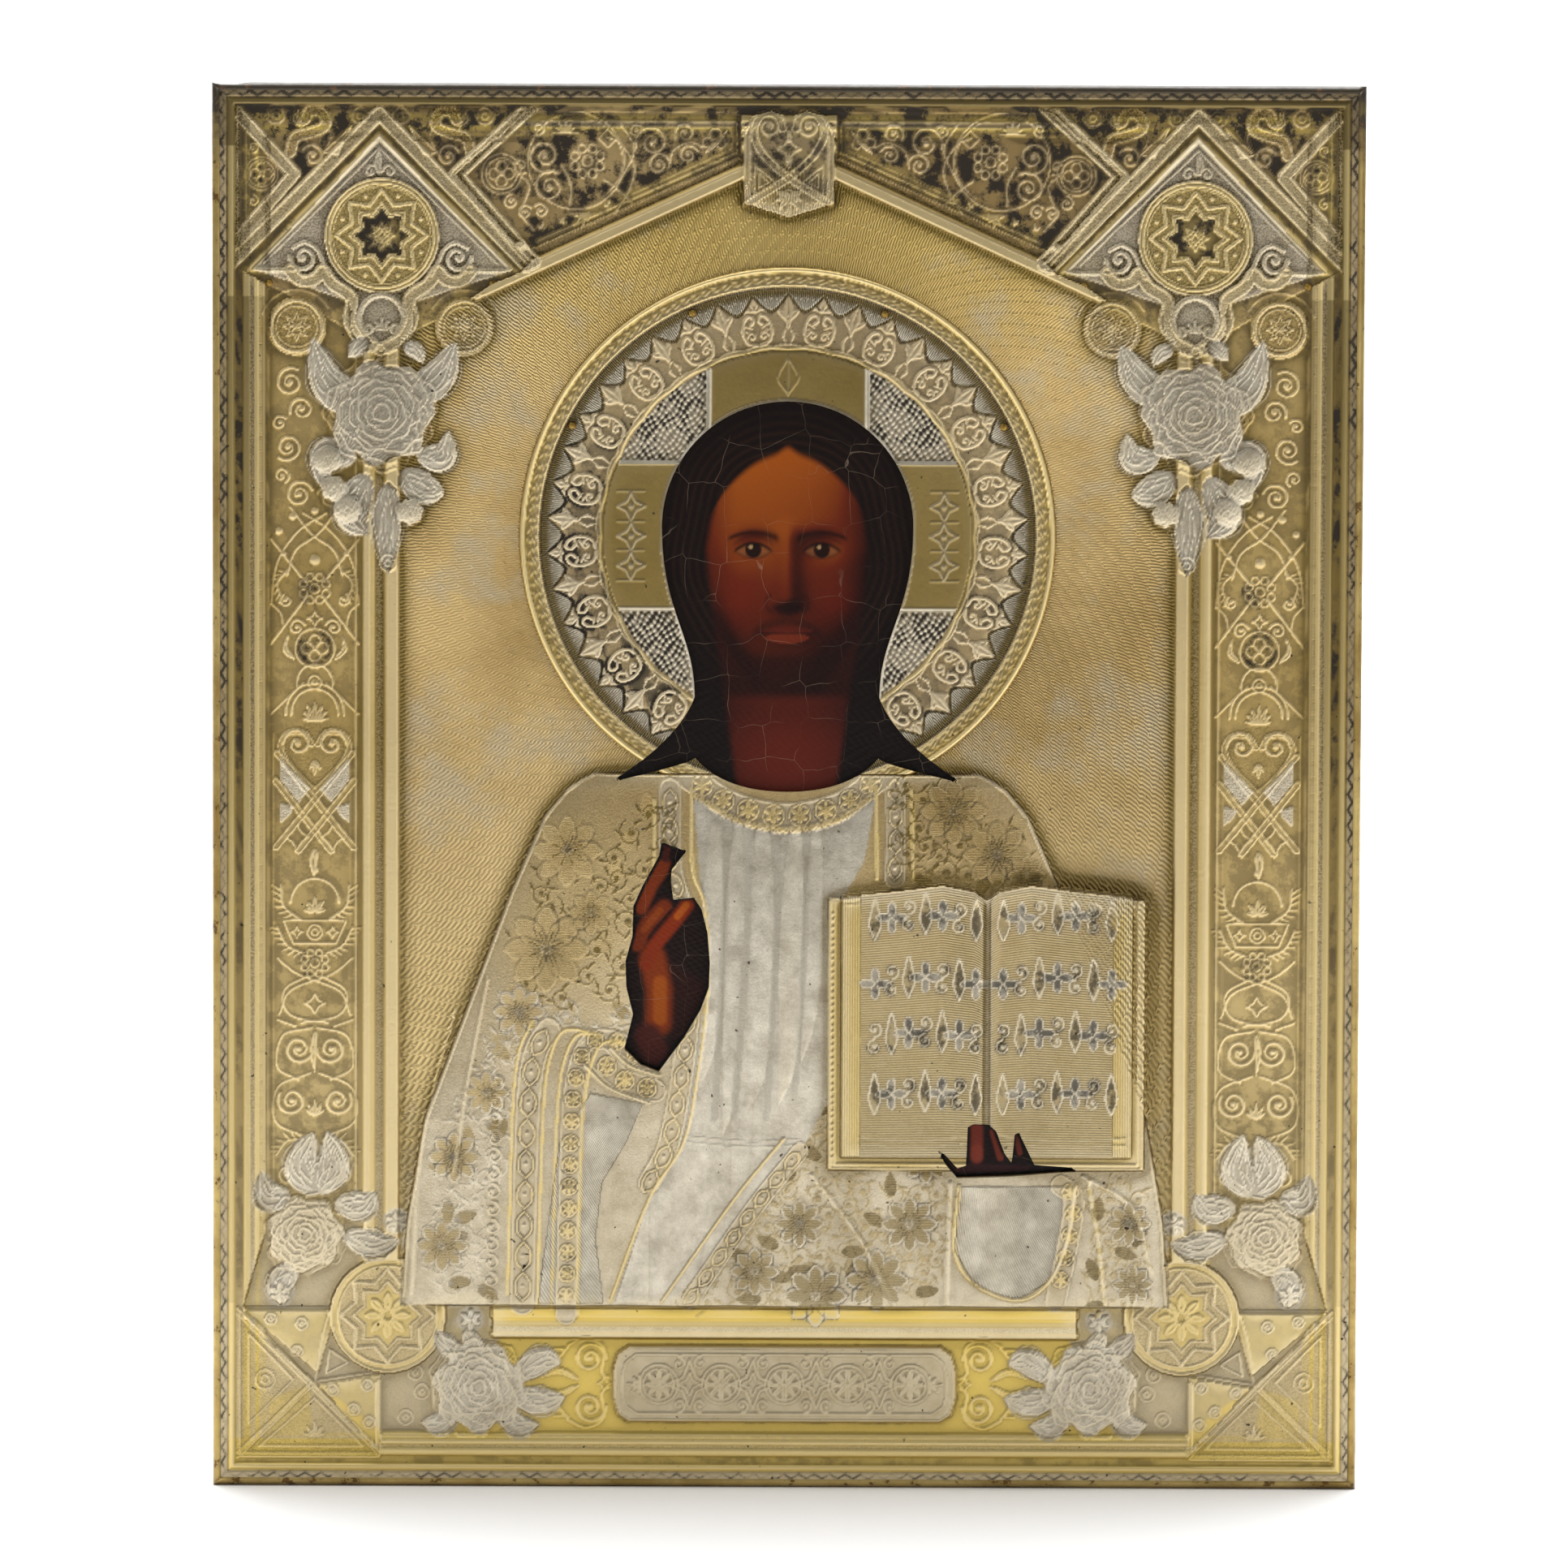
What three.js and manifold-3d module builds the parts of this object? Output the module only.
// A religious icon: a painted panel under an embossed metal cover.
// Millimetres. +X is to the viewer's right, +Z is up and the front looks along -Y.
// The origin is the middle of the cover's lower flange, on which the icon stands.
import * as THREE from "three";
import * as BufferGeometryUtils from "three/addons/utils/BufferGeometryUtils.js";
import Module from "manifold-3d";

const wasm = await Module();
wasm.setup();

// Cover and board
const coverWidth = 218;
const coverHeight = 266.5;
const sheetWall = 0.6;
const flangeDepth = 21;
const edgeRadius = 1.6;
const cornerSlit = 1.2;
const boardThickness = 22;
const boardClearance = 0.5;
const gessoThickness = 1.2;
const paintThickness = 0.3;
const paintOverlap = 2.5;
const seatGap = 0.3;
const cutOverrun = 5;

// Battens in the back of the board
const battenWidth = 22;
const battenTaper = 4;
const battenThickness = 9;
const battenProud = 2;
const battenUndercut = 2;
const battenEndInset = 4;
const upperBattenDrop = 60;
const lowerBattenRise = 52;

// Embossed frame and inner moulding
const frameWidth = 11.3;
const frameRelief = 1.4;
const innerMouldingInset = 28.4;
const innerMouldingWidth = 7.4;
const innerMouldingRelief = 1.2;
const gableSlope = 0.458;
const gableTopInset = 6.4;
const sillRise = 28.4;
const sillHeight = 6.4;
const sillHalfWidth = 55.6;
const sillRelief = 1.6;

// Corner ornaments, counted from the cover's side and top or bottom edges
const triangleInset = 32.3;
const triangleDrop = 7.6;
const triangleHeight = 28.2;
const triangleHalfBase = 25.4;
const bandWidth = 2.8;
const bandRelief = 1.1;
const cornerPlateRelief = 1.3;
const medallionRadius = 10.5;
const medallionRelief = 0.8;
const topMedallionDrop = 29.6;
const bottomMedallionInset = 33.3;
const bottomMedallionRise = 33.7;
const roundelRadius = 3.3;
const roundelRelief = 1.1;
const starRoundelRadius = 4.3;
const bossRadius = 1.4;
const lineWidth = 1;
const lineRelief = 0.9;
const roseRadius = 10.6;
const roseRelief = 3.2;
const topRoseInset = 32.3;
const topRoseDrop = 63;

// Keystone, cartouche, figure and book
const keystoneWidth = 17.5;
const keystoneHeight = 18.5;
const keystoneDrop = 5;
const keystoneRelief = 1.8;
const cartoucheWidth = 62.8;
const cartoucheHeight = 14.4;
const cartoucheRise = 19.7;
const cartoucheRelief = 1.6;
const collarRise = 1.8;
const figureRelief = 3.2;
const foldRelief = 0.5;
const trimWidth = 4.6;
const trimRelief = 0.4;
const bookWidth = 60;
const bookHeight = 55;
const bookSideInset = 41;
const bookRise = 26.2;
const bookRelief = 4.4;
const pageRelief = 0.7;
const gutterWidth = 1.6;

// Openings over the painting
const headWidth = 47.6;
const headTopDrop = 59.8;
const headLength = 56;
const neckWidth = 35;
const shoulderWidth = 67;
const shoulderLength = 16.2;
const handWidth = 16.2;
const handHeight = 43.7;
const handInset = 78.4;
const handDrop = 11.2;
const fingersWidth = 27;
const fingersHeight = 10.5;
const fingersInset = 137.6;
const fingersDrop = 1.4;

// Halo
const haloRadius = 50.8;
const haloDrop = 85.3;
const haloSheet = 0.5;
const haloRimWidth = 3.9;
const haloRimRelief = 1.6;
const haloRelief = 0.6;
const haloLobes = 42;
const lobeOuterRadius = 46.4;
const lobeInnerRadius = 35.3;
const crossArmWidth = 30;
const crossArmRelief = 0.35;

// Nails, brads, pins and the hanging ring
const nailShankRadius = 0.7;
const nailShankLength = 9;
const nailHeadRadius = 1.6;
const nailHeadHeight = 0.5;
const nailSetback = 12;
const nailHoleGap = 0.3;
const bradShankRadius = 0.4;
const bradLength = 6;
const bradHeadRadius = 0.9;
const bradHeadHeight = 0.5;
const eyeWireRadius = 0.9;
const eyeHoleRadius = 1.8;
const eyeShankLength = 12;
const eyeStandoff = 1.6;
const eyeDrop = 22;
const ringRadius = 10;
const ringWireRadius = 1.1;

// Counts of facets and repeats
const roundSides = 10;
const smallSides = 6;
const wireSides = 8;
const loopSides = 12;
const archSteps = 6;
const openingSteps = 6;
const haloSides = 48;
const medallionSides = 16;
const petalSteps = 1;
const rosePetalSteps = 2;
const spiralSteps = 6;
const figureRows = 9;
const figureColumns = 15;
const hollowRows = 6;
const hollowColumns = 8;
const sideNails = 4;
const endNails = 4;
const foldCount = 7;
const starPoints = 8;
const roundelPetals = 4;
const rosettePetals = 8;
const trefoilPetals = 3;
const lozengePoints = 2;
const rosePetals = 5;

// Levels, counted from the board's back towards the viewer
const gessoLevel = boardThickness + gessoThickness;
const coverBack = gessoLevel + paintThickness;
const faceLevel = coverBack + sheetWall;
const flangeBack = faceLevel - flangeDepth;
const halfWidth = coverWidth / 2;
const boardInset = sheetWall + boardClearance;
const fieldInset = innerMouldingInset + innerMouldingWidth;
const fieldHalfWidth = halfWidth - fieldInset;
const figureBase = sillRise + sillHeight;
const haloY = coverHeight - haloDrop;
const headTop = coverHeight - headTopDrop;
const neckY = headTop - headLength;
const shoulderY = neckY - shoulderLength;
const figureHeight = shoulderY + collarRise - figureBase;
const handBase = shoulderY - handDrop - handHeight;
const bookBase = figureBase + bookRise;
const fingersBase = bookBase - fingersDrop;
const standLevel = flangeBack + flangeDepth / 2;

// Materials, each mesh gets a copy of its own
const finishes = {
  gilt: { color: 0xc8aa5f, roughness: 0.35, metalness: 1 },
  wood: { color: 0x8a6236, roughness: 0.8, metalness: 0 },
  gesso: { color: 0xe9e2d0, roughness: 0.9, metalness: 0 },
  paint: { color: 0x5a2410, roughness: 0.25, metalness: 0 },
  brass: { color: 0xb8924a, roughness: 0.4, metalness: 1 },
  iron: { color: 0x4a4642, roughness: 0.6, metalness: 1 },
};

// Shapes are drawn facing the viewer: x to the right, y up the face, z towards the viewer.
// This turns them to the part's own axes and puts the origin under the middle of the flange.
function toPartAxes(geometry) {
  const position = geometry.getAttribute("position");
  for (let i = 0; i < position.count; i += 1) {
    position.setXYZ(i, position.getX(i), standLevel - position.getZ(i), position.getY(i));
  }
  geometry.computeVertexNormals();
  return geometry;
}

function signedVolume(vertices, indices) {
  const corner = (k) => new THREE.Vector3().fromArray(vertices, indices[k] * 3);
  let volume = 0;
  for (let k = 0; k < indices.length; k += 3) {
    volume += corner(k).dot(corner(k + 1).cross(corner(k + 2)));
  }
  return volume;
}

// A closed mesh with merged corners becomes a solid, turned outwards if it is inside out.
function toSolid(geometry) {
  const plain = geometry.clone();
  plain.deleteAttribute("normal");
  plain.deleteAttribute("uv");
  const merged = BufferGeometryUtils.mergeVertices(plain);
  const vertices = merged.getAttribute("position").array;
  const indices = Uint32Array.from(merged.getIndex().array);
  if (signedVolume(vertices, indices) < 0) indices.reverse();
  return new wasm.Manifold(new wasm.Mesh({ numProp: 3, vertProperties: vertices, triVerts: indices }));
}

function toGeometry(solid) {
  const mesh = solid.getMesh();
  const geometry = new THREE.BufferGeometry();
  geometry.setAttribute("position", new THREE.BufferAttribute(Float32Array.from(mesh.vertProperties), 3));
  geometry.setIndex(new THREE.BufferAttribute(Uint32Array.from(mesh.triVerts), 1));
  return geometry;
}

const joined = (solids) => solids.reduce((sum, solid) => sum.add(solid));

// The main body of a solid: offcuts fall away, and closed pockets between crossing ornaments are filled.
function mainBody(solid) {
  return solid.decompose().reduce((best, part) => (part.volume() > best.volume() ? part : best));
}

// Outlines
const point = (x, y) => new THREE.Vector2(x, y);
const shifted = (outline, x, y) => outline.map((p) => point(p.x + x, p.y + y));
const mirrored = (outline) => outline.map((p) => point(-p.x, p.y)).reverse();
const turned = (outline, angle) => outline.map((p) => p.clone().rotateAround(point(0, 0), angle));
const fromShares = (shares, width, height) => shares.map(([x, y]) => point(x * width, y * height));

function counterClockwise(outline) {
  return THREE.ShapeUtils.isClockWise(outline) ? outline.slice().reverse() : outline;
}

function polar(count, radiusAt) {
  return Array.from({ length: count }, (_, i) => {
    const angle = (i / count) * 2 * Math.PI;
    return point(radiusAt(angle) * Math.cos(angle), radiusAt(angle) * Math.sin(angle));
  });
}

const circle = (radius, sides) => polar(sides, () => radius);

function star(points, outerRadius, innerRadius) {
  return Array.from({ length: points * 2 }, (_, i) => {
    const radius = i % 2 ? innerRadius : outerRadius;
    const angle = (i / points) * Math.PI + Math.PI / 2;
    return point(radius * Math.cos(angle), radius * Math.sin(angle));
  });
}

// Petals: the radius swells and shrinks with the cosine of the angle.
function petals(count, radius, depthShare, steps = petalSteps) {
  const swell = (angle) => radius * (1 - depthShare / 2 + (depthShare / 2) * Math.cos(count * angle));
  return polar(count * steps * 2, swell);
}

function spiral(startRadius, endRadius, startAngle, turns) {
  return Array.from({ length: spiralSteps + 1 }, (_, i) => {
    const share = i / spiralSteps;
    const radius = startRadius + (endRadius - startRadius) * share;
    const angle = startAngle + turns * 2 * Math.PI * share;
    return point(radius * Math.cos(angle), radius * Math.sin(angle));
  });
}

function arc(radius, startAngle, endAngle, steps) {
  return Array.from({ length: steps + 1 }, (_, i) => {
    const angle = startAngle + ((endAngle - startAngle) * i) / steps;
    return point(radius * Math.cos(angle), radius * Math.sin(angle));
  });
}

function rectangle(left, bottom, right, top) {
  return [point(left, bottom), point(right, bottom), point(right, top), point(left, top)];
}

// Every corner moves along its mitre, to the left of the walking direction when distance is positive.
function offset(points, distance, closed) {
  const count = points.length;
  return points.map((p, i) => {
    const before = points[closed ? (i + count - 1) % count : Math.max(i - 1, 0)];
    const after = points[closed ? (i + 1) % count : Math.min(i + 1, count - 1)];
    const into = p.clone().sub(before);
    const out = after.clone().sub(p);
    if (into.length() === 0) into.copy(out);
    if (out.length() === 0) out.copy(into);
    const a = point(-into.y, into.x).normalize();
    const b = point(-out.y, out.x).normalize();
    const mitre = a.clone().add(b).divideScalar(Math.max(1 + a.dot(b), 0.5));
    return p.clone().addScaledVector(mitre, distance);
  });
}

// A solid through equal rings of points, closed by a cap at each end.
function loft(outlines, place) {
  const count = outlines[0].length;
  const positions = [];
  outlines.forEach((outline, level) => outline.forEach((p) => positions.push(...place(p, level).toArray())));
  const indices = [];
  for (let level = 0; level + 1 < outlines.length; level += 1) {
    for (let i = 0; i < count; i += 1) {
      const a = level * count + i;
      const b = level * count + ((i + 1) % count);
      indices.push(a, b, b + count, a, b + count, a + count);
    }
  }
  const top = (outlines.length - 1) * count;
  THREE.ShapeUtils.triangulateShape(outlines[0], []).forEach(([a, b, c]) => indices.push(a, c, b));
  THREE.ShapeUtils.triangulateShape(outlines.at(-1), []).forEach(([a, b, c]) => {
    indices.push(a + top, b + top, c + top);
  });
  const geometry = new THREE.BufferGeometry();
  geometry.setAttribute("position", new THREE.Float32BufferAttribute(positions, 3));
  geometry.setIndex(indices);
  return geometry;
}

// A prism of an outline between two levels, its top edge drawn in by a chamfer.
function prism(outline, low, high, chamfer = 0) {
  const base = counterClockwise(outline);
  const levels = chamfer ? [low, high - chamfer, high] : [low, high];
  const rings = chamfer ? [base, base, offset(base, chamfer, true)] : [base, base];
  return loft(rings, (p, level) => new THREE.Vector3(p.x, p.y, levels[level]));
}

// A closed section carried round a loop of corners with mitred joints.
function mitredLoop(corners, section) {
  const path = counterClockwise(corners);
  const rings = section.map((p) => offset(path, p.x, true));
  const positions = [];
  path.forEach((_, corner) => {
    section.forEach((p, k) => positions.push(rings[k][corner].x, rings[k][corner].y, p.y));
  });
  const indices = [];
  const size = section.length;
  path.forEach((_, corner) => {
    section.forEach((p, k) => {
      const here = corner * size;
      const next = ((corner + 1) % path.length) * size;
      const after = (k + 1) % size;
      indices.push(here + k, next + k, next + after, here + k, next + after, here + after);
    });
  });
  const geometry = new THREE.BufferGeometry();
  geometry.setAttribute("position", new THREE.Float32BufferAttribute(positions, 3));
  geometry.setIndex(indices);
  return geometry;
}

// Equal sections along a path, joined into a closed ribbon. Each section lists its corners in turn.
function ribbon(sections) {
  const size = sections[0].length;
  const indices = [];
  for (let k = 2; k < size; k += 1) indices.push(0, k - 1, k);
  for (let i = 0; i + 1 < sections.length; i += 1) {
    for (let k = 0; k < size; k += 1) {
      const a = i * size + k;
      const b = i * size + ((k + 1) % size);
      indices.push(a, b + size, b, a, a + size, b + size);
    }
  }
  const last = (sections.length - 1) * size;
  for (let k = 2; k < size; k += 1) indices.push(last, last + k, last + k - 1);
  const geometry = new THREE.BufferGeometry();
  geometry.setAttribute("position", new THREE.Float32BufferAttribute(sections.flat(2), 3));
  geometry.setIndex(indices);
  return geometry;
}

// A raised line along a path, with a ridge along its middle.
function strip(points, width, low, high) {
  const left = offset(points, width / 2, false);
  const right = offset(points, -width / 2, false);
  return ribbon(points.map((p, i) => [
    [right[i].x, right[i].y, low], [left[i].x, left[i].y, low], [p.x, p.y, high],
  ]));
}

// Turned pieces: the lathe's axis becomes the direction towards the viewer.
function turnedPiece(profile, sides) {
  const geometry = new THREE.LatheGeometry(profile, sides);
  const position = geometry.getAttribute("position");
  for (let i = 0; i < position.count; i += 1) {
    position.setXYZ(i, position.getX(i), -position.getZ(i), position.getY(i));
  }
  return geometry;
}

function ringLine(radius, width, low, high, sides) {
  const outer = point(radius + width / 2, low);
  return turnedPiece([outer, point(radius, high), point(radius - width / 2, low), outer], sides);
}

// What stands on the sheet starts half a wall deep in it.
const sheetFoot = faceLevel - sheetWall / 2;
const raised = (outline, relief, chamfer) => toSolid(prism(outline, sheetFoot, faceLevel + relief, chamfer));
const line = (points, relief = lineRelief, width = lineWidth) =>
  toSolid(strip(points, width, sheetFoot, faceLevel + relief));

function ringAt(x, y, radius, relief = lineRelief, width = lineWidth, sides = roundSides) {
  return toSolid(ringLine(radius, width, sheetFoot, faceLevel + relief, sides).translate(x, y, 0));
}

function closedLine(corners, width, relief) {
  const section = [point(0, sheetFoot), point(width, sheetFoot), point(width / 2, faceLevel + relief)];
  return toSolid(mitredLoop(corners, section));
}

// An embossed moulding: the sheet's own section, and the hollow that the embossing leaves behind it.
const frameProfileShares = [
  [0.274, 0.62], [0.38, 0.25], [0.5, 0.25], [0.58, 1], [0.68, 0.45], [0.8, 0.85], [0.92, 0.35], [1, 0],
];
const stripShare = 0.62;
const innerProfileShares = [
  [0, 0], [0.15, 0.9], [0.32, 0.3], [0.56, 0.3], [0.68, 1], [0.9, 1], [1, 0],
];
const edgeArcSteps = 3;

function edgeArc(radius) {
  const centre = point(edgeRadius, faceLevel + frameRelief * stripShare - edgeRadius);
  return arc(radius, Math.PI, Math.PI / 2, edgeArcSteps).map((p) => p.add(centre));
}

function frameSection() {
  const outside = frameProfileShares.map(([x, y]) => point(x * frameWidth, faceLevel + y * frameRelief));
  const inside = outside.map((p) => point(p.x, p.y - sheetWall)).reverse();
  const outerArc = edgeArc(edgeRadius);
  const innerArc = edgeArc(edgeRadius - sheetWall).reverse();
  const lips = [point(sheetWall, flangeBack), point(0, flangeBack)];
  return { outside: [...outerArc, ...outside], inside: [...inside, ...innerArc], lips };
}

function frameMoulding() {
  const face = rectangle(-halfWidth, 0, halfWidth, coverHeight);
  const { outside, inside, lips } = frameSection();
  return toSolid(mitredLoop(face, [...outside, ...inside, ...lips]));
}

function innerMouldingCorners() {
  const side = halfWidth - innerMouldingInset;
  const apex = coverHeight - gableTopInset;
  const eaves = apex - side * gableSlope;
  return [
    point(-side, sillRise), point(side, sillRise), point(side, eaves), point(0, apex), point(-side, eaves),
  ];
}

function innerMoulding() {
  const top = innerProfileShares.map(([x, y]) => {
    return point(x * innerMouldingWidth, faceLevel + y * innerMouldingRelief);
  });
  const under = top.map((p) => point(p.x, p.y - sheetWall)).reverse();
  const below = [point(innerMouldingWidth, coverBack - cutOverrun), point(0, coverBack - cutOverrun)];
  const corners = innerMouldingCorners();
  return {
    shell: toSolid(mitredLoop(corners, [...top, ...under])),
    hollow: toSolid(mitredLoop(corners, [...under.slice().reverse(), ...below])),
  };
}

// Top corner: a triangle with its medallion, two angle bands, roundels, scrolls and a hanging rose.
const medallionShares = { ring: 0.94, outerStar: 0.82, innerStar: 0.42, notch: 0.72, flower: 0.24 };

// The medallion's own relief is counted from the plate or sheet that it stands on.
function medallion(x, y, plateRelief) {
  const radius = medallionRadius;
  const shares = medallionShares;
  const outerStar = star(starPoints, radius * shares.outerStar, radius * shares.outerStar * shares.notch);
  const innerStar = star(starPoints, radius * shares.innerStar, radius * shares.innerStar * shares.notch);
  return [
    ringAt(x, y, radius * shares.ring, plateRelief + medallionRelief, lineWidth, medallionSides),
    closedLine(shifted(outerStar, x, y), lineWidth, plateRelief + medallionRelief),
    raised(shifted(innerStar, x, y), plateRelief + medallionRelief),
    raised(shifted(circle(radius * shares.flower, smallSides), x, y), plateRelief + medallionRelief * 1.4),
  ];
}

function roundel(x, y, radius = roundelRadius) {
  return [
    ringAt(x, y, radius, roundelRelief, lineWidth),
    raised(shifted(petals(roundelPetals, radius * 0.7, 0.5), x, y), roundelRelief),
  ];
}

function volute(x, y, radius, startAngle, turns) {
  return line(shifted(spiral(radius, radius * 0.3, startAngle, turns), x, y));
}

// Rose: three crowns of petals, each smaller and higher, turned against each other.
const roseCrownShares = [[1, 0.45], [0.72, 0.75], [0.42, 1]];

function rose(x, y, radius, relief = roseRelief) {
  return roseCrownShares.map(([radiusShare, reliefShare], crown) => {
    const crownOutline = petals(rosePetals, radius * radiusShare, 0.28, rosePetalSteps);
    const outline = turned(crownOutline, (crown * Math.PI) / rosePetals);
    return raised(shifted(outline, x, y), relief * reliefShare);
  });
}

// Leaf: a pointed oval from its foot to its tip.
const leafHalfShares = [[0, 0], [0.3, 0.5], [0.65, 0.35], [1, 0]];

function leaf(x, y, length, width, angle) {
  const upper = leafHalfShares.map(([along, across]) => point(along * length, across * width));
  const lower = upper.slice(1, -1).reverse().map((p) => point(p.x, -p.y));
  return raised(shifted(turned([...upper, ...lower], angle), x, y), lineRelief);
}

const topLeafTurnShares = [-0.25, 0.39, 0.111];

function topCorner() {
  const left = -halfWidth;
  const apexY = coverHeight - triangleDrop;
  const baseY = apexY - triangleHeight;
  const centreX = left + triangleInset;
  const tip = point(centreX, apexY);
  const foot = (side) => point(centreX + side * triangleHalfBase, baseY);
  const medallionY = coverHeight - topMedallionDrop;
  const vertexX = centreX + triangleHalfBase * 0.57;
  const vertexY = apexY - triangleHeight * 0.35;
  const reach = triangleHalfBase * 0.52;
  const edgeX = left + frameWidth;
  const roseX = left + topRoseInset;
  const roseY = coverHeight - topRoseDrop;
  const lowRoundelY = baseY - triangleHeight * 0.4;
  const bossX = centreX - triangleHalfBase * 0.72;
  const trefoil = petals(trefoilPetals, starRoundelRadius, 0.5);
  const angleBand = [point(vertexX + reach * 0.7, coverHeight - frameWidth), point(vertexX, vertexY)];
  const outerAngle = [
    point(edgeX + lineWidth, apexY - bandWidth * 2), point(edgeX + reach * 0.6, vertexY),
    point(edgeX + lineWidth, baseY + bandWidth * 2),
  ];
  return [
    raised([tip, foot(-1), foot(1)], cornerPlateRelief),
    raised(shifted(circle(medallionRadius, medallionSides), centreX, medallionY), cornerPlateRelief),
    closedLine([tip, foot(-1), foot(1)], bandWidth, cornerPlateRelief + bandRelief / 2),
    ...medallion(centreX, medallionY, cornerPlateRelief),
    line(angleBand, bandRelief, bandWidth),
    line(outerAngle, bandRelief, lineWidth * 1.5),
    ...roundel(edgeX + roundelRadius * 0.9, vertexY, roundelRadius * 0.7),
    ...roundel(vertexX + reach * 0.66, vertexY),
    ...roundel(centreX - triangleHalfBase * 0.6, lowRoundelY, starRoundelRadius),
    ...roundel(centreX + triangleHalfBase * 0.64, lowRoundelY, starRoundelRadius),
    volute(centreX - triangleHalfBase * 0.5, apexY - bandWidth * 2.5, bandWidth, -1, 1.2),
    volute(centreX + triangleHalfBase * 0.5, apexY - bandWidth * 2.5, bandWidth, Math.PI + 1, -1.2),
    raised(shifted(trefoil, centreX, lowRoundelY + bandWidth), roundelRelief),
    ...rose(roseX, roseY, roseRadius),
    ...topLeafTurnShares.map((share) => {
      return leaf(roseX, roseY, roseRadius * 2, roseRadius * 0.8, share * 2 * Math.PI);
    }),
    raised(shifted(circle(bossRadius, smallSides), bossX, apexY - bandWidth * 2), lineRelief),
  ];
}

// Spandrel between the corner and the keystone: a flower on a scrolling vine.
function spandrel() {
  const x = -halfWidth + innerMouldingInset * 2.55;
  const y = coverHeight - frameWidth - roundelRadius * 1.4;
  const step = roundelRadius * 2.2;
  return [
    raised(shifted(petals(rosettePetals, roundelRadius, 0.4), x, y), roundelRelief),
    volute(x + step, y + lineWidth, roundelRadius, Math.PI, 1.3),
    volute(x + step * 1.7, y - lineWidth, roundelRadius * 0.8, 0, 1.2),
    volute(x - step * 0.8, y - roundelRadius, roundelRadius * 0.8, 0, -1.3),
  ];
}

// Keystone: a tapered plate with a heart of two volutes and a pendant leaf.
const keystoneShares = [[-0.5, 1], [-0.42, 0], [0, -0.1], [0.42, 0], [0.5, 1]];

function keystone() {
  const bottom = coverHeight - keystoneDrop - keystoneHeight;
  const plate = shifted(fromShares(keystoneShares, keystoneWidth, keystoneHeight), 0, bottom);
  const heartY = bottom + keystoneHeight * 0.66;
  const coil = keystoneWidth * 0.17;
  const heartRelief = keystoneRelief + lineRelief;
  const stem = (side) => [
    point(side * keystoneWidth * 0.4, heartY), point(side * keystoneWidth * 0.28, heartY - coil * 1.6),
    point(0, bottom + keystoneHeight * 0.2),
  ];
  return [
    raised(plate, keystoneRelief, lineWidth / 2),
    line(shifted(spiral(coil, coil * 0.3, 0, 1.3), coil * 1.2, heartY), heartRelief),
    line(shifted(spiral(coil, coil * 0.3, Math.PI, -1.3), -coil * 1.2, heartY), heartRelief),
    line(stem(1), heartRelief),
    line(stem(-1), heartRelief),
    leaf(0, bottom, keystoneHeight * 0.3, keystoneWidth * 0.3, -Math.PI / 2),
  ];
}

// Pilaster ornaments down one side, each at a share of the cover's height.
const pilasterCentreShare = 0.506;
const scrollShares = [0.785, 0.725];
const rosetteShares = [0.64, 0.373];
const roundelShares = [0.598, 0.416];
const ringShares = [0.575];
const heartShares = [0.526, 0.312];
const latticeShares = [0.508, 0.457];
const archShare = 0.552;
const lozengeShare = 0.447;
const cupShare = 0.394;
const tulipShare = 0.237;
const twinShare = 0.275;
const scrollTurnShare = 1.4;

function pilaster() {
  const strapWidth = innerMouldingInset - frameWidth;
  const x = -halfWidth + frameWidth + strapWidth * pilasterCentreShare;
  const at = (share) => share * coverHeight;
  const coil = strapWidth * 0.21;
  const scrolls = scrollShares.map((share, i) => {
    return volute(x, at(share), coil * 1.5, i * Math.PI, i % 2 ? -scrollTurnShare : scrollTurnShare);
  });
  const rosettes = rosetteShares.map((share) => {
    return raised(shifted(petals(rosettePetals, roundelRadius, 0.4), x, at(share)), roundelRelief);
  });
  const hearts = heartShares.flatMap((share) => [
    volute(x - coil, at(share), coil, 0, 1.3),
    volute(x + coil, at(share), coil, Math.PI, -1.3),
    line([point(x - coil * 2, at(share)), point(x, at(share) - coil * 2.4), point(x + coil * 2, at(share))]),
  ]);
  const [latticeTop, latticeBottom] = latticeShares.map(at);
  const latticeMiddle = (latticeTop + latticeBottom) / 2;
  const reach = strapWidth * 0.36;
  const strap = lineWidth * 1.4;
  const straps = [-1, 1].flatMap((side) => [
    line([point(x - side * reach, latticeTop), point(x + side * reach, latticeBottom)], lineRelief, strap),
    line([point(x, latticeTop), point(x - side * reach, latticeMiddle), point(x, latticeBottom)]),
  ]);
  const arch = shifted(arc(reach, 0, Math.PI, archSteps), x, at(archShare));
  const cup = [point(x - reach, at(cupShare) + coil), point(x - coil, at(cupShare) - coil)];
  const cupOutline = [...cup, ...mirrored(shifted(cup, -x, 0)).map((p) => point(p.x + x, p.y))];
  return [
    ...scrolls,
    ...rosettes,
    ...roundelShares.flatMap((share) => roundel(x, at(share))),
    ...ringShares.map((share) => ringAt(x, at(share), roundelRadius * 0.7)),
    ...hearts,
    ...straps,
    line(arch, lineRelief, strap),
    raised(shifted(star(lozengePoints, coil * 1.3, coil * 0.7), x, at(lozengeShare)), roundelRelief),
    raised(cupOutline, roundelRelief),
    ringAt(x, at(twinShare), coil * 1.3),
    leaf(x, at(tulipShare), coil * 3.4, coil * 2, Math.PI / 2),
  ];
}

// Bottom corner: a medallion in a drop-shaped band, crossed bands, roundels and two roses.
const sideRoseShares = [0.47, 1.18];
const lowRoseShares = [1.52, 0.56];

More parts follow.
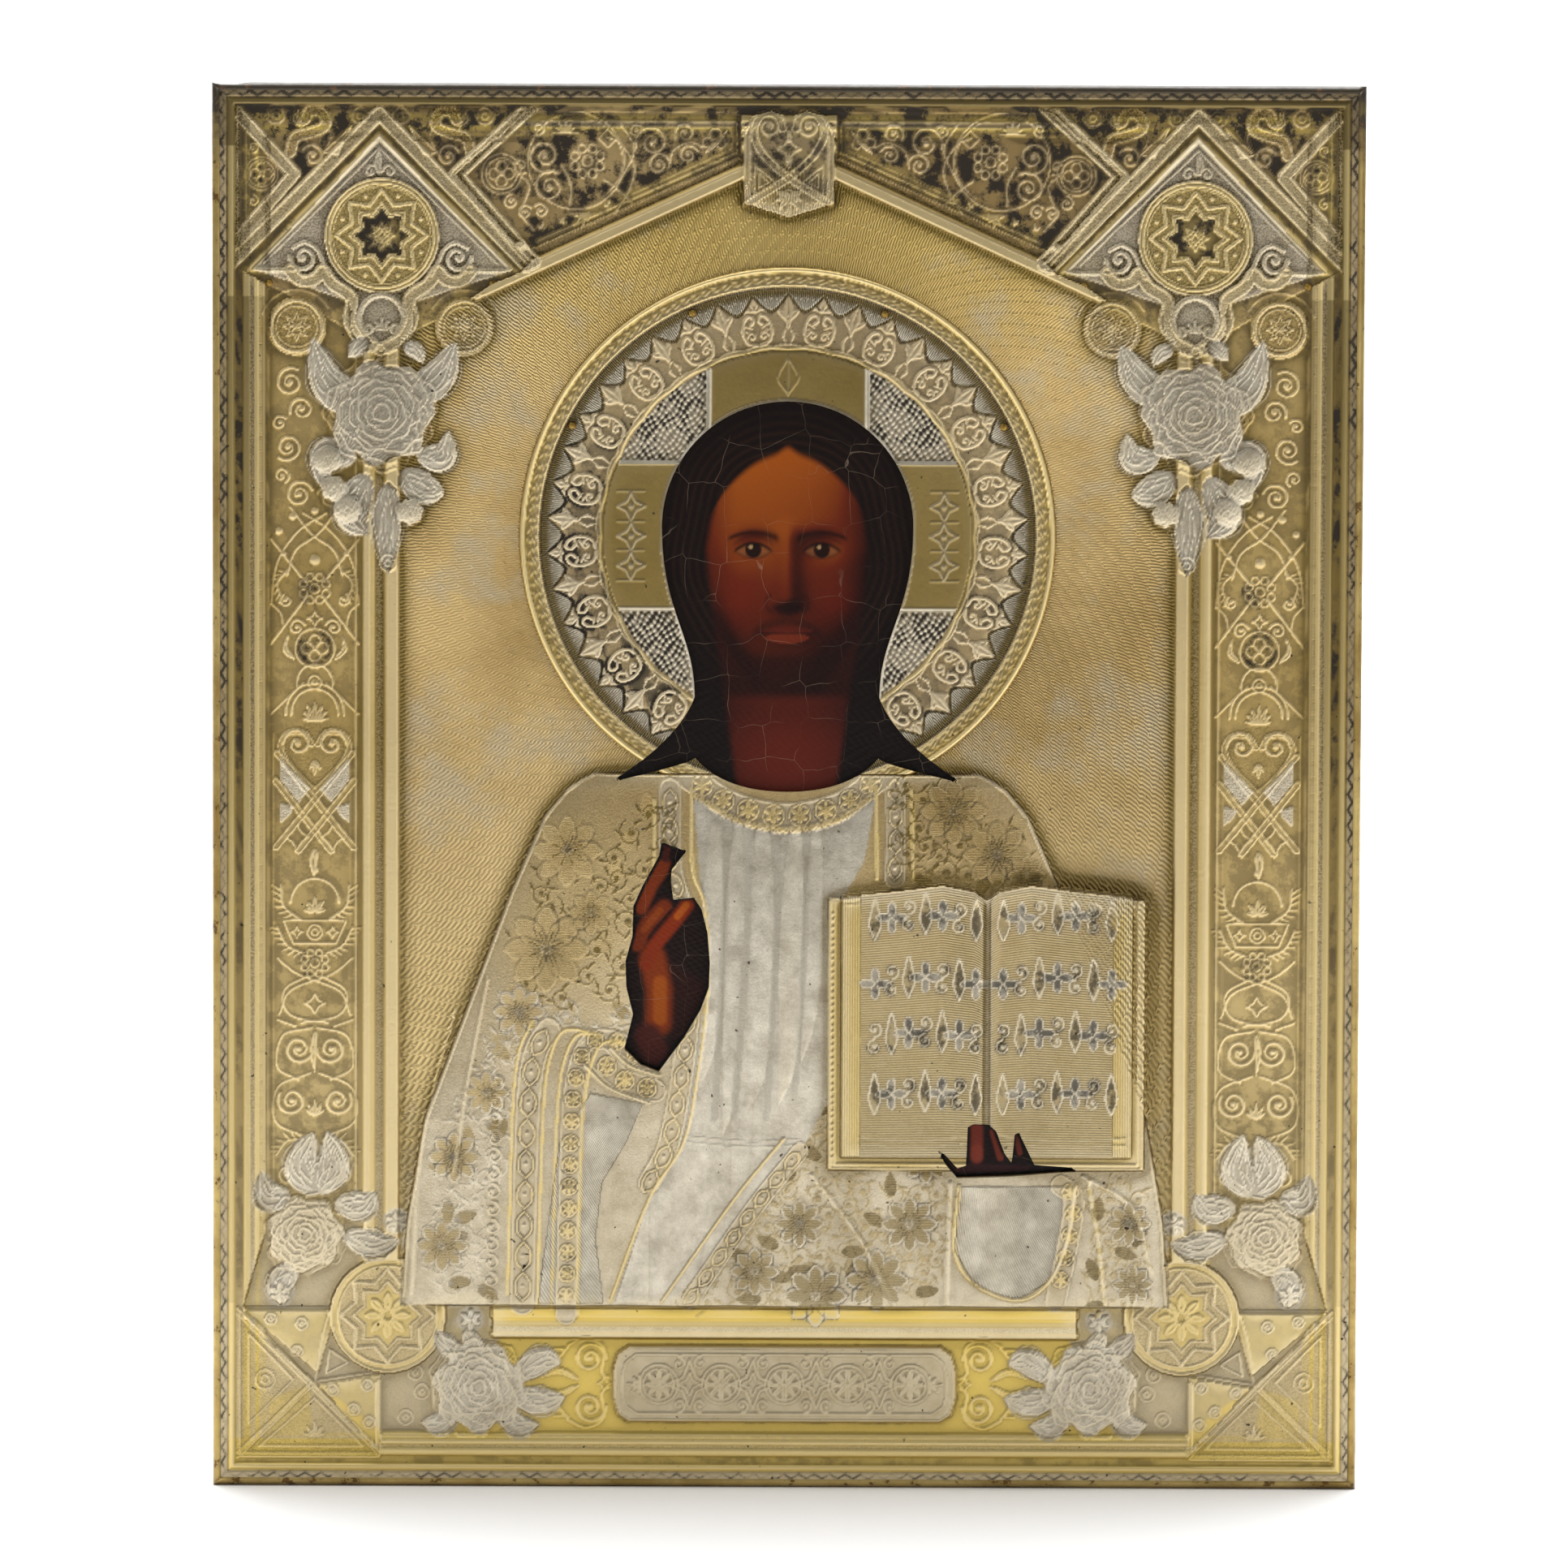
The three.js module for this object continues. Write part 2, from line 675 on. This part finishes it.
function bottomCorner() {
  const x = -halfWidth + bottomMedallionInset;
  const y = bottomMedallionRise;
  const diagonal = bottomMedallionInset - frameWidth / 2;
  const edge = frameWidth + lineWidth;
  const middle = diagonal / 2 + frameWidth / 2;
  const dropTip = point(x - bottomMedallionInset * 0.4, y - bottomMedallionRise * 0.4);
  const dropArc = shifted(arc(medallionRadius * 1.12, -Math.PI * 0.42, Math.PI * 0.92, roundSides), x, y);
  const sideRoseX = -halfWidth + bottomMedallionInset * sideRoseShares[0];
  const lowRoseX = -halfWidth + bottomMedallionInset * lowRoseShares[0];
  return [
    ...medallion(x, y, 0),
    line([...dropArc, dropTip, dropArc[0]], bandRelief, lineWidth * 1.3),
    line([point(-halfWidth + edge, y - edge / 2), point(x - edge / 2, edge)], bandRelief, lineWidth * 1.6),
    line([point(-halfWidth + edge, edge), point(-halfWidth + middle, middle)], bandRelief, lineWidth * 1.6),
    ringAt(-halfWidth + edge + roundelRadius / 2, middle, roundelRadius * 0.6),
    ringAt(-halfWidth + middle, edge + roundelRadius / 2, roundelRadius * 0.6),
    ...rose(sideRoseX, bottomMedallionRise * sideRoseShares[1], roseRadius * 0.66),
    ...rose(lowRoseX, bottomMedallionRise * lowRoseShares[1], roseRadius * 0.8),
  ];
}

// Bottom: the sill under the figure and the cartouche plate with its side volutes, left bare.
const cartoucheShares = [
  [-0.5, 0], [-0.48, 0.2], [-0.44, 0.3], [-0.44, 0.5], [0.44, 0.5], [0.44, 0.3], [0.48, 0.2],
  [0.5, 0], [0.48, -0.2], [0.44, -0.3], [0.44, -0.5], [-0.44, -0.5], [-0.44, -0.3], [-0.48, -0.2],
];

function sillAndCartouche() {
  const sill = rectangle(-sillHalfWidth, sillRise, sillHalfWidth, sillRise + sillHeight);
  const upper = rectangle(
    -sillHalfWidth, sillRise + sillHeight * 0.3, sillHalfWidth, sillRise + sillHeight * 0.7,
  );
  const plate = shifted(fromShares(cartoucheShares, cartoucheWidth, cartoucheHeight), 0, cartoucheRise);
  const coil = cartoucheHeight * 0.24;
  const coilX = cartoucheWidth / 2 + coil * 2.2;
  return [
    raised(sill, sillRelief / 2, lineWidth / 2),
    raised(upper, sillRelief, lineWidth / 2),
    raised(plate, cartoucheRelief / 2, lineWidth / 4),
    closedLine(plate, lineWidth * 1.2, cartoucheRelief),
    ...[-1, 1].flatMap((side) => [
      volute(side * coilX, cartoucheRise + coil, coil, side > 0 ? Math.PI : 0, side * 1.3),
      volute(side * coilX, cartoucheRise - coil, coil, side > 0 ? Math.PI : 0, -side * 1.3),
      leaf(side * (coilX + coil), cartoucheRise, coil * 2, coil, side > 0 ? 0 : Math.PI),
    ]),
  ];
}

// Figure: rows of cross-sections from the sill to the shoulders, with folds that fan out downwards.
const shoulderShares = [
  [0, 1], [0.16, 0.985], [0.35, 0.94], [0.55, 0.835], [0.78, 0.715], [0.92, 0.63], [0.975, 0.565], [1, 0.5],
];
const figureFullShare = 0.55;
const figureBaseShare = 0.62;
const figureTopShare = 0.4;

function figureHalfWidth(heightShare) {
  const after = Math.max(1, shoulderShares.findIndex(([y]) => y >= heightShare));
  const [y0, x0] = shoulderShares[after - 1];
  const [y1, x1] = shoulderShares[after];
  return fieldHalfWidth * (x0 + ((x1 - x0) * (heightShare - y0)) / (y1 - y0));
}

// Height of the robe over the sheet: a rounded arch across, fullest at the chest, with cosine folds.
function figureRise(acrossShare, heightShare, foldHeight = foldRelief) {
  const side = 2 * acrossShare - 1;
  const below = heightShare < figureFullShare;
  const endShare = below ? figureBaseShare : figureTopShare;
  const span = below ? figureFullShare : 1 - figureFullShare;
  const towardsEnd = Math.abs(heightShare - figureFullShare) / span;
  const crown = figureRelief * (1 - (1 - endShare) * towardsEnd ** 2);
  const arch = Math.sqrt(Math.max(0, 1 - side ** 4));
  const fold = foldHeight * Math.cos(foldCount * Math.PI * side) * (1 - heightShare) * (1 - side ** 2);
  return crown * arch + fold;
}

// Rows and columns of points over the figure, closed by a flat layer of the same points under them.
function figureLoft(rowCount, columnCount, lowLevel, inward, topLevelAt) {
  const shares = (count) => Array.from({ length: count }, (_, i) => i / (count - 1));
  const rows = shares(rowCount);
  const columns = shares(columnCount);
  const width = columns.length;
  const positions = [];
  rows.forEach((heightShare) => {
    const y = figureBase + inward + heightShare * (figureHeight - 2 * inward);
    const half = figureHalfWidth(heightShare) - inward;
    const x = (acrossShare) => (2 * acrossShare - 1) * half;
    columns.forEach((acrossShare) => positions.push(x(acrossShare), y, topLevelAt(acrossShare, heightShare)));
    columns.forEach((acrossShare) => positions.push(x(acrossShare), y, lowLevel));
  });
  const indices = [];
  const index = (row, layer, column) => (row * 2 + layer) * width + column;
  const quad = (a, b, c, d) => indices.push(a, b, c, a, c, d);
  for (let row = 0; row + 1 < rows.length; row += 1) {
    for (let column = 0; column + 1 < width; column += 1) {
      const [a, b] = [index(row, 0, column), index(row, 0, column + 1)];
      const [c, d] = [index(row + 1, 0, column + 1), index(row + 1, 0, column)];
      quad(a, b, c, d);
      quad(d + width, c + width, b + width, a + width);
    }
    const [left, leftUp] = [index(row, 0, 0), index(row + 1, 0, 0)];
    const [right, rightUp] = [index(row, 0, width - 1), index(row + 1, 0, width - 1)];
    quad(left, leftUp, leftUp + width, left + width);
    quad(rightUp, right, right + width, rightUp + width);
  }
  for (let column = 0; column + 1 < width; column += 1) {
    const low = index(0, 0, column);
    const high = index(rows.length - 1, 0, column);
    quad(low + 1, low, low + width, low + 1 + width);
    quad(high, high + 1, high + 1 + width, high + width);
  }
  const geometry = new THREE.BufferGeometry();
  geometry.setAttribute("position", new THREE.Float32BufferAttribute(positions, 3));
  geometry.setIndex(indices);
  return toSolid(geometry);
}

const robe = () => figureLoft(figureRows, figureColumns, sheetFoot, 0, (across, height) => {
  return faceLevel + Math.max(figureRise(across, height), 0);
});

// The hollow behind the robe follows the robe without its folds, a wall and the folds' depth lower.
const hollowLevel = (across, height) => {
  return coverBack + Math.max(figureRise(across, height, 0) - foldRelief * 2, -sheetWall);
};
const hollowInset = sheetWall * 3;
const robeHollow = () => {
  return figureLoft(hollowRows, hollowColumns, coverBack - cutOverrun, hollowInset, hollowLevel);
};

// Trims, hems and sleeve edges that lie on the robe, in shares of the figure's half width and height.
const collarShares = [[-0.3, 0.98], [-0.16, 0.93], [0, 0.91], [0.16, 0.93], [0.3, 0.98]];
const leftTrimShares = [[-0.28, 0.95], [-0.23, 0.72], [-0.21, 0.56], [-0.25, 0.42], [-0.44, 0.03]];
const rightTrimShares = [[0.27, 0.95], [0.28, 0.88], [0.28, 0.82]];
const mantleShares = [[0.12, 0.4], [0.04, 0.3], [-0.12, 0.16], [-0.29, 0.03]];
const leftCuffShares = [[-0.51, 0.46], [-0.44, 0.41], [-0.34, 0.39]];
const rightCuffShares = [[0.42, 0.23], [0.59, 0.215], [0.76, 0.23]];

// A band that follows the robe: each of its points stands the same lift above the robe there.
function robeBand(shares, width) {
  const centre = fromShares(shares, fieldHalfWidth, figureHeight).map((p) => point(p.x, p.y + figureBase));
  const left = offset(centre, width / 2, false);
  const right = offset(centre, -width / 2, false);
  const top = (p) => {
    const heightShare = Math.min(Math.max((p.y - figureBase) / figureHeight, 0), 1);
    const acrossShare = Math.min(Math.max(p.x / figureHalfWidth(heightShare) / 2 + 0.5, 0), 1);
    return faceLevel + Math.max(figureRise(acrossShare, heightShare), 0) + trimRelief;
  };
  return toSolid(ribbon(centre.map((_, i) => [
    [right[i].x, right[i].y, sheetFoot], [left[i].x, left[i].y, sheetFoot],
    [left[i].x, left[i].y, top(left[i])], [right[i].x, right[i].y, top(right[i])],
  ])));
}

function robeTrims() {
  return [
    robeBand(collarShares, trimWidth),
    robeBand(leftTrimShares, trimWidth),
    robeBand(rightTrimShares, trimWidth),
    robeBand(mantleShares, trimWidth),
    robeBand(leftCuffShares, trimWidth * 1.4),
    robeBand(rightCuffShares, trimWidth),
  ];
}

// Open book: a cover board and two page blocks whose top edges swell beside the gutter.
const pageTopShares = [[0.04, 0.95], [0.22, 0.97], [0.36, 0.99], [0.46, 0.97], [0.5, 0.94]];

function book() {
  const left = halfWidth - bookSideInset - bookWidth;
  const level = faceLevel + bookRelief;
  const at = (outline) => shifted(outline, left, bookBase);
  const cover = at(rectangle(0, 0, bookWidth, bookHeight * 0.94));
  const page = fromShares([[0.5, 0.05], [0.04, 0.05], ...pageTopShares], bookWidth, bookHeight);
  const facing = page.map((p) => point(bookWidth - p.x, p.y)).reverse();
  const gutter = at(rectangle(
    bookWidth / 2 - gutterWidth / 2, bookHeight * 0.05, bookWidth / 2 + gutterWidth / 2, bookHeight,
  ));
  const pages = [page, facing].map((outline) => toSolid(prism(at(outline), sheetFoot, level, pageRelief)));
  const boards = toSolid(prism(cover, sheetFoot, level - pageRelief, pageRelief / 2));
  const groove = toSolid(prism(gutter, level - pageRelief / 2, level + cutOverrun));
  return joined([boards, ...pages]).subtract(groove);
}

function bookHollow() {
  const left = halfWidth - bookSideInset - bookWidth;
  const outline = rectangle(
    left + sheetWall, bookBase + sheetWall,
    left + bookWidth - sheetWall, bookBase + bookHeight * 0.94 - sheetWall,
  );
  return toSolid(prism(outline, coverBack - cutOverrun, faceLevel + bookRelief - pageRelief - sheetWall));
}

// Openings: a plain oval for the head that spreads over the shoulders, and two for the hands.
function headOutline() {
  const half = headWidth / 2;
  const centreY = headTop - half;
  const side = new THREE.Path();
  side.moveTo(0, headTop);
  side.absellipse(0, centreY, half, half, Math.PI / 2, 0, true, 0);
  side.bezierCurveTo(half, (centreY + neckY) / 2, neckWidth / 2, neckY + half / 2, neckWidth / 2, neckY);
  side.quadraticCurveTo(neckWidth / 2 + half / 8, (neckY + shoulderY) / 2, shoulderWidth / 2, shoulderY);
  side.quadraticCurveTo(shoulderWidth / 4, shoulderY + half / 6, neckWidth / 2, shoulderY + half / 5);
  side.quadraticCurveTo(half / 2, shoulderY, 0, shoulderY - half / 8);
  const apart = (p, i, all) => i === 0 || p.distanceTo(all[i - 1]) > seatGap;
  const right = side.getPoints(openingSteps).filter(apart);
  const left = right.slice(1, -1).reverse().map((p) => point(-p.x, p.y));
  return counterClockwise([...right, ...left]);
}

const handShares = [
  [0.43, 1], [0.72, 0.96], [0.55, 0.88], [0.54, 0.83], [0.57, 0.75], [0.81, 0.76], [0.9, 0.71], [0.97, 0.61],
  [1, 0.48], [0.99, 0.37], [0.89, 0.27], [0.7, 0.15], [0.4, 0], [0.19, 0.03], [0, 0.1], [0.1, 0.25],
  [0.02, 0.37], [0.01, 0.48], [0.09, 0.59], [0.1, 0.72], [0.21, 0.81], [0.4, 0.94],
];
const fingersShares = [
  [0, 0.56], [0.05, 0.47], [0.15, 0.19], [0.21, 0.24], [0.22, 0.94], [0.26, 1], [0.37, 0.99], [0.42, 0.87],
  [0.48, 0.47], [0.53, 0.29], [0.55, 0.82], [0.58, 0.85], [0.69, 0.26], [0.95, 0.21], [1, 0.13],
  [0.66, 0.06], [0.48, 0.03], [0.15, 0], [0.07, 0.24],
];

function handOutline() {
  return shifted(fromShares(handShares, handWidth, handHeight), handInset - halfWidth, handBase);
}

function fingersOutline() {
  const outline = fromShares(fingersShares, fingersWidth, fingersHeight);
  return shifted(outline, fingersInset - halfWidth, fingersBase);
}

const opening = (outline) => toSolid(prism(outline, coverBack - cutOverrun, faceLevel + cutOverrun * 2));

// Painted areas under the openings, each a plain rounded patch wider than its opening.
function paintedPatch(outline) {
  const box = new THREE.Box2().setFromPoints(outline).expandByScalar(paintOverlap);
  const cut = paintOverlap;
  const patch = [
    point(box.min.x + cut, box.min.y), point(box.max.x - cut, box.min.y), point(box.max.x, box.min.y + cut),
    point(box.max.x, box.max.y - cut), point(box.max.x - cut, box.max.y), point(box.min.x + cut, box.max.y),
    point(box.min.x, box.max.y - cut), point(box.min.x, box.min.y + cut),
  ];
  return prism(patch, gessoLevel, coverBack);
}

// Fasteners: places along the sides, and a turned nail that points along its own axis.
function nailPlaces() {
  const middle = faceLevel - nailSetback;
  const sideY = (i) => (coverHeight * (i + 0.5)) / sideNails;
  const endX = (i) => (coverWidth * (i - (endNails - 1) / 2)) / endNails;
  const along = (side, count, placeAt) => Array.from({ length: count }, (_, i) => {
    return { side, number: i + 1, place: new THREE.Vector3(...placeAt(i), middle) };
  });
  return [
    ...along("left", sideNails, (i) => [-halfWidth, sideY(i)]),
    ...along("right", sideNails, (i) => [halfWidth, sideY(i)]),
    ...along("top", endNails, (i) => [endX(i), coverHeight]),
    ...along("bottom", endNails, (i) => [endX(i), 0]),
  ];
}

// Lathe profiles run along +Y; the head of a side nail stands on the flange, and a bottom one lies flush.
function nailProfile(flush) {
  const head = flush ? 0 : nailHeadHeight;
  const foot = flush ? -sheetWall : 0;
  return [
    point(0, -nailShankLength), point(nailShankRadius, -nailShankLength + nailShankRadius * 4),
    point(nailShankRadius, foot),
    point(nailHeadRadius, foot), point(nailHeadRadius * 0.8, head), point(0, head),
  ];
}

// A lathe runs along +Y: these give it the direction that points out of each side of the cover.
const outOf = {
  top: (x, y, z) => [x, y, z],
  bottom: (x, y, z) => [x, -y, -z],
  left: (x, y, z) => [-y, x, z],
  right: (x, y, z) => [y, -x, z],
  front: (x, y, z) => [x, -z, y],
  back: (x, y, z) => [x, z, -y],
};

function latheAlong(profile, side, sides, place) {
  const geometry = new THREE.LatheGeometry(profile, sides);
  const position = geometry.getAttribute("position");
  for (let i = 0; i < position.count; i += 1) {
    position.setXYZ(i, ...outOf[side](position.getX(i), position.getY(i), position.getZ(i)));
  }
  return geometry.translate(place.x, place.y, place.z);
}

const sideNail = ({ side, place }) => latheAlong(nailProfile(side === "bottom"), side, smallSides, place);

function nailHole({ side, place }) {
  const flush = side === "bottom";
  const radius = nailShankRadius + nailHoleGap;
  const mouth = nailHeadRadius + nailHoleGap;
  const deep = nailShankLength + nailHoleGap;
  const profile = flush
    ? [point(0, -deep), point(radius, -deep), point(radius, -boardInset), point(mouth, -boardInset)]
    : [point(0, -deep), point(radius, -deep), point(radius, -boardInset)];
  const rim = flush ? mouth : radius;
  const open = [...profile, point(rim, cutOverrun), point(0, cutOverrun)];
  return toSolid(latheAlong(open, side, smallSides, place));
}

// Face brads at the corners of the cover, as insets from its sides and drops from its top or rises.
const bradShares = { edge: 0.05, inner: 0.244, drop: 0.142, low: 0.022 };

function bradPlaces() {
  const shares = bradShares;
  const x = [-halfWidth + coverWidth * shares.edge, -halfWidth + coverWidth * shares.inner];
  const y = coverHeight * (1 - shares.drop);
  const lowX = -halfWidth + coverWidth * shares.low / 2;
  const left = [point(x[0], y), point(x[1], y), point(lowX, coverHeight * shares.low)];
  return left.flatMap((p) => [p, point(-p.x, p.y)]);
}

function bradProfile(length) {
  const neck = bradShankRadius;
  return [
    point(0, -length), point(neck, -length + neck * 2), point(neck, 0), point(bradHeadRadius, 0),
    point(bradHeadRadius * 0.75, bradHeadHeight * 0.7), point(0, bradHeadHeight),
  ];
}

function bradHole(place, length) {
  const radius = bradShankRadius + nailHoleGap;
  const mouth = bradHeadRadius + nailHoleGap;
  const profile = [
    point(0, -length - nailHoleGap), point(radius, -length - nailHoleGap), point(radius, 0),
    point(mouth, 0), point(mouth, cutOverrun), point(0, cutOverrun),
  ];
  return toSolid(latheAlong(profile, "front", smallSides, place));
}

const bradSeat = (p) => new THREE.Vector3(p.x, p.y, faceLevel);

// One hole for each face brad and halo pin, through all that they pass.
function bradHoles() {
  return [...bradPlaces().map(bradSeat), ...haloPinPlaces()].map((place) => bradHole(place, bradLength));
}

// Cover sheet
function slits() {
  const cut = (x, y) => {
    const geometry = new THREE.BoxGeometry(cornerSlit * 2, cornerSlit * 2, flangeDepth - edgeRadius * 2);
    return toSolid(geometry.translate(x, y, flangeBack + flangeDepth / 2 - edgeRadius - seatGap));
  };
  return [-halfWidth, halfWidth].flatMap((x) => [0, coverHeight].map((y) => cut(x, y)));
}

function coverSheet() {
  const inset = frameWidth - lineWidth / 4;
  const plate = rectangle(-halfWidth + inset, inset, halfWidth - inset, coverHeight - inset);
  const inner = innerMoulding();
  const half = [...topCorner(), ...spandrel(), ...pilaster(), ...bottomCorner()];
  const halfOrnament = joined(half);
  const otherHalf = halfOrnament.mirror([1, 0, 0]);
  const sheet = joined([
    frameMoulding(), toSolid(prism(plate, coverBack, faceLevel)), inner.shell, halfOrnament, otherHalf,
    ...keystone(), ...sillAndCartouche(), robe(), ...robeTrims(), book(),
  ]);
  const away = joined([
    inner.hollow, robeHollow(), bookHollow(),
    opening(headOutline()), opening(handOutline()), opening(fingersOutline()),
    ...slits(), ...nailPlaces().map(nailHole), ...bradHoles(),
  ]);
  return toGeometry(mainBody(sheet.subtract(away)));
}

// Halo: a thin sheet with a turned rim, pointed lobes and the raised arms of a cross.
const lobeNotchShare = 0.16;

function haloLobeOutline() {
  const perLobe = 2;
  return polar(haloLobes * perLobe, (angle) => {
    const atTip = Math.round((angle / (2 * Math.PI)) * haloLobes * perLobe) % perLobe;
    return lobeOuterRadius - (atTip ? 0 : (lobeOuterRadius - lobeInnerRadius) * lobeNotchShare);
  });
}

function haloRim() {
  const outer = haloRadius;
  const inner = haloRadius - haloRimWidth;
  const top = faceLevel + haloRimRelief;
  const profile = [
    point(outer, faceLevel), point(outer, faceLevel + haloSheet), point(outer - haloRimWidth * 0.2, top),
    point(inner + haloRimWidth * 0.35, top), point(inner, faceLevel + haloSheet), point(inner, faceLevel),
    point(outer, faceLevel),
  ];
  return toSolid(turnedPiece(profile, haloSides));
}

function haloLeaves() {
  const middle = (lobeOuterRadius + lobeInnerRadius) / 2;
  const width = ((2 * Math.PI * middle) / haloLobes) * 0.6;
  return Array.from({ length: haloLobes }, (_, i) => {
    const angle = ((i + 0.5) / haloLobes) * 2 * Math.PI;
    const path = turned([point(lobeInnerRadius + haloRelief, 0), point(middle, 0)], angle);
    return toSolid(strip(path, width, faceLevel + haloSheet / 2, faceLevel + haloSheet + haloRelief * 2));
  });
}

function halo() {
  const base = faceLevel + haloSheet / 2;
  const sheetLevel = faceLevel + haloSheet;
  const sheet = toSolid(prism(circle(haloRadius - haloRimWidth / 2, haloSides), faceLevel, sheetLevel));
  const lobes = toSolid(prism(haloLobeOutline(), base, sheetLevel + haloRelief));
  const well = toSolid(prism(circle(lobeInnerRadius, haloSides / 2), sheetLevel, faceLevel + cutOverrun));
  const reach = lobeInnerRadius + seatGap;
  const arm = crossArmWidth / 2;
  const armLevel = sheetLevel + crossArmRelief;
  const arms = [rectangle(-reach, -arm, reach, arm), rectangle(-arm, 0, arm, reach)];
  const cross = arms.map((outline) => toSolid(prism(outline, base, armLevel, crossArmRelief / 2)));
  const disc = joined([sheet, haloRim(), lobes.subtract(well), ...cross, ...haloLeaves()]);
  const head = shifted(offset(headOutline(), -seatGap, true), 0, -haloY);
  const cutHead = toSolid(prism(head, faceLevel - cutOverrun, faceLevel + cutOverrun));
  const shoulders = figureBase + figureHeight + seatGap * 2 - haloY;
  const cutLow = rectangle(-haloRadius * 2, -haloRadius * 2, haloRadius * 2, shoulders);
  const low = toSolid(prism(cutLow, faceLevel - cutOverrun, faceLevel + cutOverrun));
  const pins = haloPinPlaces().map((place) => bradHole(place, bradLength).translate([0, -haloY, 0]));
  const body = disc.subtract(joined([cutHead, low, ...pins]));
  return toGeometry(mainBody(body)).translate(0, haloY, 0);
}

// Halo pins stand in the plain ring between the rim and the lobes.
const haloPinTurnShares = [0.075, 0.185, 0.315, 0.425];

function haloPinPlaces() {
  const radius = (haloRadius - haloRimWidth + lobeOuterRadius) / 2 - bradHeadRadius;
  return haloPinTurnShares.map((share) => {
    const angle = share * 2 * Math.PI;
    const [x, y] = [radius * Math.cos(angle), radius * Math.sin(angle)];
    return new THREE.Vector3(x, haloY + y, faceLevel + haloSheet);
  });
}

// Panel, gesso and battens
const boardSide = halfWidth - boardInset;
const boardBox = rectangle(-boardSide, boardInset, boardSide, coverHeight - boardInset);

// Batten section across the board, as shares of its width; the foot inside the board is the wider side.
function battenSection(width, grow) {
  const half = width / 2 + grow;
  const foot = battenThickness - battenProud + grow;
  return [
    point(-half, -battenProud), point(half, -battenProud),
    point(half + battenUndercut, foot), point(-half - battenUndercut, foot),
  ];
}

function batten(y, wideSide, grow, length) {
  const wide = battenSection(battenWidth, grow);
  const narrow = battenSection(battenWidth - battenTaper, grow);
  const ends = [-length / 2, length / 2];
  const rings = wideSide < 0 ? [wide, narrow] : [narrow, wide];
  return loft(rings, (p, level) => new THREE.Vector3(ends[level], y + p.x, p.y));
}

const battenPlaces = { upper: [coverHeight - upperBattenDrop, -1], lower: [lowerBattenRise, 1] };
const battenPiece = ([y, wideSide]) => batten(y, wideSide, 0, 2 * (boardSide - battenEndInset));
const battenGroove = ([y, wideSide]) => toSolid(batten(y, wideSide, seatGap, 2 * boardSide + cutOverrun));

const eyeY = coverHeight - eyeDrop;
const eyeSeat = new THREE.Vector3(0, eyeY, 0);

function panelBoard() {
  const board = toSolid(prism(boardBox, 0, boardThickness));
  const eyeHole = toSolid(latheAlong([
    point(0, -eyeShankLength - seatGap), point(eyeWireRadius + seatGap, -eyeShankLength - seatGap),
    point(eyeWireRadius + seatGap, cutOverrun), point(0, cutOverrun),
  ], "back", smallSides, eyeSeat));
  const grooves = Object.values(battenPlaces).map(battenGroove);
  const away = [...nailPlaces().map(nailHole), ...grooves, eyeHole, ...bradHoles()];
  return toGeometry(board.subtract(joined(away)));
}

function gessoGround() {
  const ground = toSolid(prism(boardBox, boardThickness, gessoLevel));
  return toGeometry(ground.subtract(joined(bradHoles())));
}

// Hanging eye: a round loop on a shank driven into the board's back. The ring's wire passes through it.
const eyeLoopRadius = eyeHoleRadius + eyeWireRadius;
const eyeCentre = new THREE.Vector3(0, eyeY, -(eyeStandoff + eyeLoopRadius));

function hangingEye() {
  const loop = new THREE.TorusGeometry(eyeLoopRadius, eyeWireRadius, wireSides, loopSides);
  const position = loop.getAttribute("position");
  for (let i = 0; i < position.count; i += 1) {
    position.setXYZ(i, position.getZ(i), position.getY(i), -position.getX(i));
  }
  loop.translate(eyeCentre.x, eyeCentre.y, eyeCentre.z);
  const shank = latheAlong([
    point(0, -eyeShankLength), point(eyeWireRadius, -eyeShankLength + eyeWireRadius * 2),
    point(eyeWireRadius, eyeStandoff + eyeWireRadius / 2), point(0, eyeStandoff + eyeWireRadius / 2),
  ], "back", smallSides, eyeSeat);
  return toGeometry(toSolid(loop).add(toSolid(shank)));
}

function hangingRing() {
  const ring = new THREE.TorusGeometry(ringRadius, ringWireRadius, wireSides, loopSides * 2);
  return ring.translate(eyeCentre.x, eyeCentre.y - ringRadius, eyeCentre.z);
}

// Assembly
const icon = new THREE.Group();

function addPart(name, geometry, finish) {
  const closed = toPartAxes(toGeometry(mainBody(toSolid(geometry))));
  const mesh = new THREE.Mesh(closed, new THREE.MeshStandardMaterial(finishes[finish]));
  mesh.name = name;
  icon.add(mesh);
}

addPart("panel_board", panelBoard(), "wood");
addPart("batten_upper", battenPiece(battenPlaces.upper), "wood");
addPart("batten_lower", battenPiece(battenPlaces.lower), "wood");
addPart("gesso_ground", gessoGround(), "gesso");
addPart("painted_head", paintedPatch(headOutline()), "paint");
addPart("painted_blessing_hand", paintedPatch(handOutline()), "paint");
addPart("painted_book_hand", paintedPatch(fingersOutline()), "paint");
addPart("cover_sheet", coverSheet(), "gilt");
addPart("halo", halo(), "gilt");
haloPinPlaces().forEach((place, i) => {
  addPart(`halo_pin_${i + 1}`, latheAlong(bradProfile(bradLength), "front", smallSides, place), "brass");
});
nailPlaces().forEach((nail) => {
  addPart(`side_nail_${nail.side}_${nail.number}`, sideNail(nail), "brass");
});
bradPlaces().forEach((place, i) => {
  const brad = latheAlong(bradProfile(bradLength), "front", smallSides, bradSeat(place));
  addPart(`face_brad_${i + 1}`, brad, "brass");
});
addPart("hanging_eye", hangingEye(), "iron");
addPart("hanging_ring", hangingRing(), "iron");

export default icon;
